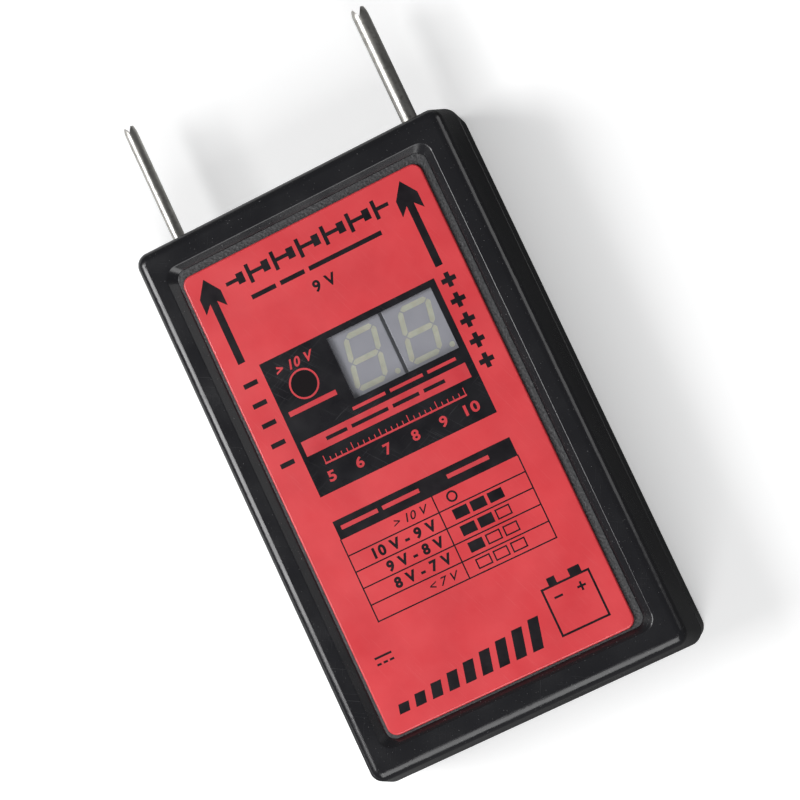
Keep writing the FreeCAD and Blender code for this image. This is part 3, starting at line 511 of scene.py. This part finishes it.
def recess_grain(material):
    """The finely textured ring of recess floor that shows round the label."""
    width, length, corner = [size * MM for size in RECESS_FLOOR_MM]
    clearance = GRAIN_CLEARANCE_MM * MM
    label_width = LABEL_HIGH.x - LABEL_LOW.x
    label_length = LABEL_HIGH.y - LABEL_LOW.y
    steps_x = round(width / (GRAIN_PITCH_MM * MM))
    steps_y = round(length / (GRAIN_PITCH_MM * MM))
    inner = rounded_loop(LABEL_MIDDLE, label_width + 2 * clearance, label_length + 2 * clearance,
                         LABEL_CORNER_MM * MM, steps_x, steps_y)
    outer = rounded_loop(Vector((0, 0, 0)), width, length, corner, steps_x, steps_y)
    floor_z = LABEL_LOW.z
    target = bmesh.new()
    rows = []
    for row in range(GRAIN_ROWS + 1):
        share = row / GRAIN_ROWS
        points = [a.lerp(b, share) for a, b in zip(inner, outer)]
        rows.append([target.verts.new((p.x, p.y, floor_z + grain_height(p))) for p in points])
    inner_foot = [target.verts.new((p.x, p.y, floor_z)) for p in inner]
    outer_foot = [target.verts.new((p.x, p.y, floor_z)) for p in outer]
    loops = [inner_foot] + rows + [outer_foot, inner_foot]
    for low, high in zip(loops, loops[1:]):
        for index in range(len(inner)):
            following = (index + 1) % len(inner)
            target.faces.new((low[index], high[index], high[following], low[following]))
    return new_piece("recess_grain", target, "case", material)


# ================================================================ shader helpers
NOISE_BAND = (0.3, 0.7)         # part of a noise's range in which the tone changes
ROUGHNESS_PATCH = 0.6           # patches of roughness beside patches of colour, in size
SCRATCH_EDGE = 0.03             # softness of a mark's edge, in noise units
SPECK_EDGE = 0.02


def new_material(name):
    material = bpy.data.materials.new(name)
    material.use_nodes = True
    return material, material.node_tree, material.node_tree.nodes["Principled BSDF"]


def mapped(tree, size, turn=0.0):
    """Object coordinates counted in steps of size (x, y, z), turned about the vertical."""
    source = tree.nodes.new("ShaderNodeTexCoord")
    turned = tree.nodes.new("ShaderNodeMapping")
    turned.inputs["Rotation"].default_value = (0, 0, turn)
    scaled = tree.nodes.new("ShaderNodeMapping")
    scaled.inputs["Scale"].default_value = [1 / step for step in size]
    tree.links.new(source.outputs["Object"], turned.inputs["Vector"])
    tree.links.new(turned.outputs["Vector"], scaled.inputs["Vector"])
    return scaled.outputs["Vector"]


def clouds(tree, size, detail=2.0, turn=0.0):
    """Noise from 0 to 1 whose features measure about size."""
    if isinstance(size, float):
        size = (size, size, size)
    texture = tree.nodes.new("ShaderNodeTexNoise")
    texture.inputs["Scale"].default_value = 1.0
    texture.inputs["Detail"].default_value = detail
    tree.links.new(mapped(tree, size, turn), texture.inputs["Vector"])
    return texture.outputs["Fac"]


def remap(tree, value, start, end, low, high):
    node = tree.nodes.new("ShaderNodeMapRange")
    node.inputs["From Min"].default_value = start
    node.inputs["From Max"].default_value = end
    node.inputs["To Min"].default_value = low
    node.inputs["To Max"].default_value = high
    tree.links.new(value, node.inputs["Value"])
    return node.outputs["Result"]


def combine(tree, operation, first, second):
    node = tree.nodes.new("ShaderNodeMath")
    node.operation = operation
    for socket, value in zip(node.inputs, (first, second)):
        if isinstance(value, (int, float)):
            socket.default_value = value
        else:
            tree.links.new(value, socket)
    return node.outputs["Value"]


def blend_colours(tree, factor, first, second):
    """Mixes two colours; each is an (r, g, b) or the output of another node."""
    node = tree.nodes.new("ShaderNodeMix")
    node.data_type = "RGBA"
    tree.links.new(factor, node.inputs["Factor"])
    for socket, value in ((node.inputs[6], first), (node.inputs[7], second)):
        if isinstance(value, tuple):
            socket.default_value = (*value, 1.0)
        else:
            tree.links.new(value, socket)
    return node.outputs[2]


def place(tree):
    """The x, y and z of the shaded point in the CAD's frame, in metres."""
    source = tree.nodes.new("ShaderNodeTexCoord")
    parts = tree.nodes.new("ShaderNodeSeparateXYZ")
    tree.links.new(source.outputs["Object"], parts.inputs["Vector"])
    return parts.outputs


def inside_box(tree, low, high, margin):
    """1 over a box seen from above, widened by a margin; 0 elsewhere."""
    masks = []
    for axis in (0, 1):
        middle = (low[axis] + high[axis]) / 2
        half = (high[axis] - low[axis]) / 2 + margin
        offset = combine(tree, "SUBTRACT", place(tree)[axis], middle)
        masks.append(combine(tree, "LESS_THAN", combine(tree, "ABSOLUTE", offset, 0.0), half))
    return combine(tree, "MULTIPLY", *masks)


def relief(tree, height, depth, below=None):
    """Bump of a height map; depth is the height of 1.0 in metres."""
    node = tree.nodes.new("ShaderNodeBump")
    node.inputs["Strength"].default_value = 1.0
    node.inputs["Distance"].default_value = depth
    tree.links.new(height, node.inputs["Height"])
    if below is not None:
        tree.links.new(below, node.inputs["Normal"])
    return node.outputs["Normal"]


def scratches(tree, length, width, turn, rarity):
    """Mask of thin straight marks in one direction: 1 on a mark, 0 elsewhere."""
    streaks = clouds(tree, (length, width, width), 1.0, turn)
    return remap(tree, streaks, rarity, rarity + SCRATCH_EDGE, 0.0, 1.0)


def specks(tree, size, rarity):
    """Mask of small dots, like dust."""
    return remap(tree, clouds(tree, size, 1.0), rarity, rarity + SPECK_EDGE, 0.0, 1.0)


def surface(name, colours, patch, rough, grain, depth, metallic=0.0):
    """Colour that wanders between two tones, wandering roughness, and a fine bump."""
    material, tree, shader = new_material(name)
    tone = remap(tree, clouds(tree, patch, 4.0), *NOISE_BAND, 0.0, 1.0)
    colour = blend_colours(tree, tone, *colours)
    roughness = remap(tree, clouds(tree, scaled_size(patch, ROUGHNESS_PATCH), 3.0), *NOISE_BAND, *rough)
    normal = relief(tree, clouds(tree, grain, 3.0), depth)
    tree.links.new(colour, shader.inputs["Base Color"])
    tree.links.new(roughness, shader.inputs["Roughness"])
    tree.links.new(normal, shader.inputs["Normal"])
    shader.inputs["Metallic"].default_value = metallic
    return material, tree, shader


def scaled_size(size, share):
    if isinstance(size, float):
        return size * share
    return tuple(step * share for step in size)


def repaint(tree, shader, factor, colour):
    """Blends a colour over the present one where the factor is 1."""
    base = shader.inputs["Base Color"]
    present = base.links[0].from_socket
    tree.links.new(blend_colours(tree, factor, present, colour), base)


# ================================================================ materials
OPENING_EDGE = 0.15 * MM        # black rim round the panes in the label
PAINT_EDGE = 0.12 * MM          # depth of the grey paint on the digit modules
INK_SPECULAR = 0.22             # the ink is duller than the lacquered label


def case_black():
    """Glossy moulded plastic, a little wavy, with fine scratches and dust."""
    material, tree, shader = surface("case_black", ((0.010, 0.010, 0.012), (0.016, 0.016, 0.019)),
                                     14 * MM, (0.16, 0.27), 2.5 * MM, 0.004 * MM)
    marks = combine(tree, "MAXIMUM", scratches(tree, 16 * MM, 0.10 * MM, 0.5, 0.70),
                    scratches(tree, 11 * MM, 0.08 * MM, -1.1, 0.71))
    worn = combine(tree, "MULTIPLY", marks, remap(tree, clouds(tree, 22 * MM), 0.5, 0.62, 0.0, 1.0))
    dust = specks(tree, 0.35 * MM, 0.74)
    colour = blend_colours(tree, worn, (0.012, 0.012, 0.014), (0.030, 0.030, 0.033))
    tree.links.new(colour, shader.inputs["Base Color"])
    repaint(tree, shader, dust, (0.11, 0.11, 0.11))
    roughness = shader.inputs["Roughness"].links[0].from_socket
    tree.links.new(combine(tree, "ADD", roughness, combine(tree, "MULTIPLY", worn, 0.12)),
                   shader.inputs["Roughness"])
    return material


def recess_black():
    """Spark-eroded grain: the same plastic, but matte and a little paler."""
    return surface("recess_black", ((0.020, 0.020, 0.022), (0.070, 0.070, 0.073)), 0.4 * MM,
                   (0.45, 0.65), 0.15 * MM, 0.02 * MM)[0]


def label_red():
    """Printed film under a satin lacquer, handled a little; the edges of its openings are black."""
    material, tree, shader = surface("label_red", ((0.66, 0.040, 0.050), (0.76, 0.062, 0.072)),
                                     13 * MM, (0.30, 0.42), 0.8 * MM, 0.003 * MM)
    marks = scratches(tree, 9 * MM, 0.09 * MM, 1.2, 0.71)
    repaint(tree, shader, combine(tree, "MULTIPLY", marks, 0.35), (0.80, 0.16, 0.17))
    openings = combine(tree, "MAXIMUM", inside_box(tree, WINDOW_LOW, WINDOW_HIGH, OPENING_EDGE),
                       inside_box(tree, LAMP_LOW, LAMP_HIGH, OPENING_EDGE))
    repaint(tree, shader, openings, (0.012, 0.011, 0.013))
    shader.inputs["Coat Weight"].default_value = 0.25
    shader.inputs["Coat Roughness"].default_value = 0.12
    return material


def ink_black():
    material, _, shader = surface("ink_black", ((0.006, 0.005, 0.007), (0.015, 0.012, 0.015)), 4 * MM,
                                  (0.30, 0.42), 0.5 * MM, 0.002 * MM)
    shader.inputs["Specular IOR Level"].default_value = INK_SPECULAR
    return material


def ink_panel():
    """Large black area: fine scratches and smudges show on it."""
    material, tree, shader = surface("ink_panel", ((0.006, 0.006, 0.008), (0.016, 0.015, 0.018)),
                                     9 * MM, (0.24, 0.40), 1.2 * MM, 0.003 * MM)
    shader.inputs["Specular IOR Level"].default_value = INK_SPECULAR
    marks = combine(tree, "MAXIMUM", scratches(tree, 12 * MM, 0.12 * MM, 0.9, 0.68),
                    scratches(tree, 8 * MM, 0.10 * MM, -0.4, 0.69))
    worn = combine(tree, "MULTIPLY", marks, remap(tree, clouds(tree, 12 * MM), 0.45, 0.6, 0.0, 1.0))
    repaint(tree, shader, worn, (0.055, 0.055, 0.060))
    return material


def ink_red():
    return surface("ink_red", ((0.56, 0.034, 0.045), (0.68, 0.050, 0.062)), 5 * MM,
                   (0.32, 0.45), 0.6 * MM, 0.002 * MM)[0]


def window_clear():
    """Clear film: a lone shader, so that its transparency carries over."""
    material, _, shader = new_material("window_clear")
    shader.inputs["Base Color"].default_value = (0.42, 0.43, 0.47, 1)
    shader.inputs["Roughness"].default_value = 0.14
    shader.inputs["Alpha"].default_value = 0.08
    return material


def window_smoked():
    material, _, shader = new_material("window_smoked")
    shader.inputs["Base Color"].default_value = (0.014, 0.011, 0.012, 1)
    shader.inputs["Roughness"].default_value = 0.16
    shader.inputs["Alpha"].default_value = 0.85
    return material


def display_grey():
    """Digit modules: black plastic with a grey painted face."""
    material, tree, shader = surface("display_grey", ((0.27, 0.27, 0.305), (0.31, 0.31, 0.345)), 5 * MM,
                                     (0.42, 0.55), 0.12 * MM, 0.006 * MM)
    bare = combine(tree, "LESS_THAN", place(tree)[2], MODULE_HIGH.z - PAINT_EDGE)
    repaint(tree, shader, bare, (0.010, 0.010, 0.011))
    return material


def segment_milky():
    """Unlit cast resin."""
    material, _, shader = surface("segment_milky", ((0.43, 0.43, 0.33), (0.52, 0.52, 0.41)), 1.6 * MM,
                                  (0.30, 0.42), 0.3 * MM, 0.006 * MM)
    shader.inputs["Subsurface Weight"].default_value = 0.15
    shader.inputs["Subsurface Scale"].default_value = 0.4 * MM
    return material


def probe_nickel():
    """Nickel-plated pins: drawn lines along the pin, and duller, browner patches."""
    material, tree, shader = surface("probe_nickel", ((0.46, 0.45, 0.425), (0.70, 0.685, 0.65)),
                                     (1.6 * MM, 6 * MM, 1.6 * MM), (0.32, 0.48),
                                     (0.09 * MM, 3.5 * MM, 0.09 * MM), 0.006 * MM, 1.0)
    mottle = remap(tree, clouds(tree, 0.9 * MM, 3.0), 0.52, 0.68, 0.0, 0.6)
    repaint(tree, shader, mottle, (0.33, 0.31, 0.28))
    return material


def tinned_copper():
    return surface("tinned_copper", ((0.62, 0.62, 0.60), (0.76, 0.76, 0.74)), 1.5 * MM,
                   (0.26, 0.42), 0.2 * MM, 0.006 * MM, 1.0)[0]


def zinc_steel():
    """Zinc plate with a faint blue and yellow shimmer."""
    return surface("zinc_steel", ((0.56, 0.58, 0.64), (0.70, 0.68, 0.60)), 1.8 * MM,
                   (0.28, 0.42), 0.12 * MM, 0.005 * MM, 1.0)[0]


def nut_brass():
    return surface("nut_brass", ((0.66, 0.55, 0.28), (0.78, 0.68, 0.40)), 2.0 * MM,
                   (0.26, 0.40), (0.5 * MM, 0.08 * MM, 0.5 * MM), 0.006 * MM, 1.0)[0]


def lamp_red():
    material, _, shader = surface("lamp_red", ((0.26, 0.010, 0.010), (0.40, 0.020, 0.018)), 2 * MM,
                                  (0.12, 0.20), 0.8 * MM, 0.004 * MM)
    shader.inputs["Transmission Weight"].default_value = 0.25
    return material


def insulation(name, colours):
    return surface(name, colours, 2.5 * MM, (0.42, 0.58), 0.3 * MM, 0.01 * MM)[0]


def wire_black():
    return insulation("wire_black", ((0.016, 0.016, 0.017), (0.032, 0.032, 0.033)))


def wire_red():
    return insulation("wire_red", ((0.42, 0.018, 0.016), (0.54, 0.030, 0.026)))


def board_laminate():
    """Green resist over a glass weave."""
    material, tree, shader = surface("board_laminate", ((0.030, 0.16, 0.055), (0.055, 0.21, 0.080)),
                                     6 * MM, (0.26, 0.40), 0.5 * MM, 0.004 * MM)
    weave = combine(tree, "MULTIPLY", clouds(tree, (0.25 * MM, 1.5 * MM, 1.0), 1.0),
                    clouds(tree, (1.5 * MM, 0.25 * MM, 1.0), 1.0))
    repaint(tree, shader, remap(tree, weave, 0.2, 0.4, 0.0, 0.5), (0.10, 0.30, 0.12))
    return material


def package_black():
    return surface("package_black", ((0.020, 0.020, 0.021), (0.040, 0.040, 0.041)), 2 * MM,
                   (0.48, 0.66), 0.12 * MM, 0.012 * MM)[0]


def resistor_grey():
    return surface("resistor_grey", ((0.27, 0.31, 0.29), (0.38, 0.42, 0.40)), 1.8 * MM,
                   (0.45, 0.62), 0.25 * MM, 0.015 * MM)[0]


def resistor_beige():
    return surface("resistor_beige", ((0.52, 0.39, 0.22), (0.66, 0.52, 0.33)), 1.6 * MM,
                   (0.30, 0.44), 0.4 * MM, 0.010 * MM)[0]


def capacitor_yellow():
    return surface("capacitor_yellow", ((0.64, 0.43, 0.06), (0.76, 0.55, 0.11)), 2.5 * MM,
                   (0.26, 0.38), 0.4 * MM, 0.006 * MM)[0]


def capacitor_blue():
    return surface("capacitor_blue", ((0.030, 0.065, 0.23), (0.055, 0.11, 0.33)), 2.5 * MM,
                   (0.22, 0.34), 0.7 * MM, 0.008 * MM)[0]


def trimmer_blue():
    return surface("trimmer_blue", ((0.050, 0.14, 0.36), (0.085, 0.20, 0.46)), 2 * MM,
                   (0.38, 0.52), 0.2 * MM, 0.008 * MM)[0]


def rotor_white():
    return surface("rotor_white", ((0.66, 0.65, 0.60), (0.80, 0.79, 0.74)), 1.2 * MM,
                   (0.34, 0.48), 0.2 * MM, 0.006 * MM)[0]


def dress_cad_nodes():
    """Every CAD node gets the material of its slot in the record."""
    makers = [case_black, label_red, window_clear, window_smoked, display_grey, segment_milky,
              tinned_copper, lamp_red, probe_nickel, zinc_steel, nut_brass, wire_black, wire_red,
              board_laminate, package_black, resistor_grey, resistor_beige, capacitor_yellow,
              capacitor_blue, trimmer_blue, rotor_white]
    materials = {maker.__name__: maker() for maker in makers}
    for part in frame["record"]["subparts"]:
        for slot in frame["nodes"][part["node"]].material_slots:
            slot.material = materials[part["material_slot"]]


# ================================================================ stage
FLOOR_SIZE = 6.0
FLOOR_THICKNESS = 0.01
FLOOR_GAP = 0.02 * MM
FLOOR_GLOW = 0.35               # lifts the paper to white in the picture only
FLOOR_PAINTED_SHADE_AND_LIGHT = (0.09, 0.85)   # painted shade and painted light: tones of the floor as mirrors and bounce light meet it, lower right, upper left
PAINTED_SHADE_FROM_TO = (0.02, 0.11) # where the painted shade turns to painted light, as y less x in metres
SKY_SEEN = 0.95
SKY_LOW, SKY_HIGH = 0.16, 0.09  # strength near the horizon and overhead, for light and mirrors
LIGHTS = [
    # name, position, side length, power in watts, the only CAD nodes it reaches (none named: all)
    ("light_left", Vector((-0.66, 0.20, 0.74)), 0.46, 6.8, ()),
    ("light_foot", Vector((-0.10, -0.74, 0.68)), 0.80, 7.2, ()),
    ("light_right", Vector((0.66, 0.16, 0.24)), 0.40, 0.9, ("front_shell", "rear_shell")),
]


def seen_by_camera(tree):
    return tree.nodes.new("ShaderNodeLightPath").outputs["Is Camera Ray"]


def floor_paper():
    """White paper; in mirror images and bounce light it carries painted shade at the lower right and
    painted light at the upper left.
    """
    material, tree, shader = surface("floor_paper", ((0.86, 0.86, 0.86), (0.89, 0.89, 0.89)), 0.08,
                                     (0.75, 0.85), 0.6 * MM, 0.01 * MM)
    paper = shader.inputs["Base Color"].links[0].from_socket
    x, y, _ = place(tree)
    # painted shade at the lower right and painted light at the upper left, for all rays but the
    # camera's
    painted_shade_and_light = remap(tree, combine(tree, "SUBTRACT", y, x), *PAINTED_SHADE_FROM_TO, *FLOOR_PAINTED_SHADE_AND_LIGHT)
    tree.links.new(blend_colours(tree, seen_by_camera(tree), painted_shade_and_light, paper),
                   shader.inputs["Base Color"])
    shader.inputs["Emission Color"].default_value = (1, 1, 1, 1)
    tree.links.new(combine(tree, "MULTIPLY", seen_by_camera(tree), FLOOR_GLOW),
                   shader.inputs["Emission Strength"])
    return material


def floor():
    target = bmesh.new()
    bmesh.ops.create_cube(target, size=1.0)
    bmesh.ops.transform(target, verts=target.verts,
                        matrix=Matrix.Diagonal((FLOOR_SIZE, FLOOR_SIZE, FLOOR_THICKNESS, 1)))
    mesh = bpy.data.meshes.new("floor")
    target.to_mesh(mesh)
    target.free()
    mesh.materials.append(floor_paper())
    slab = bpy.data.objects.new("floor", mesh)
    slab.location = (0, 0, CAD_BOX[0][2] - FLOOR_GAP - FLOOR_THICKNESS / 2)
    bpy.context.scene.collection.objects.link(slab)


def limit_light(carrier, nodes):
    """Lets a light reach only these CAD nodes."""
    reached = bpy.data.collections.new(carrier.name + "_reaches")
    for node in nodes:
        reached.objects.link(frame["nodes"][node])
    carrier.light_linking.receiver_collection = reached


def lights():
    for name, position, side, power, nodes in LIGHTS:
        lamp = bpy.data.lights.new(name, "AREA")
        lamp.shape = "SQUARE"
        lamp.size = side
        lamp.energy = power
        carrier = bpy.data.objects.new(name, lamp)
        carrier.location = position
        carrier.rotation_euler = (-position).to_track_quat("-Z", "Y").to_euler()
        bpy.context.scene.collection.objects.link(carrier)
        if nodes:
            limit_light(carrier, nodes)


def world():
    """Pale where the camera sees it, dim for light and mirrors, so that black faces stay dark."""
    scenery = bpy.data.worlds.new("studio")
    scenery.use_nodes = True
    tree = scenery.node_tree
    source = tree.nodes.new("ShaderNodeTexCoord")
    parts = tree.nodes.new("ShaderNodeSeparateXYZ")
    tree.links.new(source.outputs["Generated"], parts.inputs["Vector"])
    dim = remap(tree, parts.outputs["Z"], 0.0, 0.8, SKY_LOW, SKY_HIGH)
    seen = combine(tree, "MULTIPLY", seen_by_camera(tree), SKY_SEEN)
    tree.links.new(combine(tree, "MAXIMUM", dim, seen), tree.nodes["Background"].inputs["Strength"])
    tree.nodes["Background"].inputs["Color"].default_value = (0.96, 0.98, 1.0, 1)
    bpy.context.scene.world = scenery


def camera():
    aim = Vector((LABEL_MIDDLE.x, LABEL_MIDDLE.y, LABEL_HIGH.z)) + CAMERA_AIM
    back = Vector((math.tan(CAMERA_TILT_RIGHT), -math.tan(CAMERA_TILT_DOWN), 1)).normalized()
    up = Vector((math.sin(CAMERA_TURN), math.cos(CAMERA_TURN), 0))
    right = up.cross(back).normalized()
    up = back.cross(right)
    view = bpy.data.cameras.new("camera")
    view.lens = CAMERA_LENS_MM
    view.sensor_width = CAMERA_SENSOR_MM
    carrier = bpy.data.objects.new("camera", view)
    carrier.matrix_world = Matrix((right, up, back)).transposed().to_4x4()
    carrier.location = aim + back * CAMERA_DISTANCE
    bpy.context.scene.collection.objects.link(carrier)
    bpy.context.scene.camera = carrier


bpy.context.scene.view_settings.view_transform = "Standard"
dress_cad_nodes()
black_ink = ink_black()
black_panel(ink_panel())
black_artwork(black_ink)
red_artwork(ink_red())
bar_artwork(black_ink)
recess_grain(recess_black())
floor()
lights()
world()
camera()
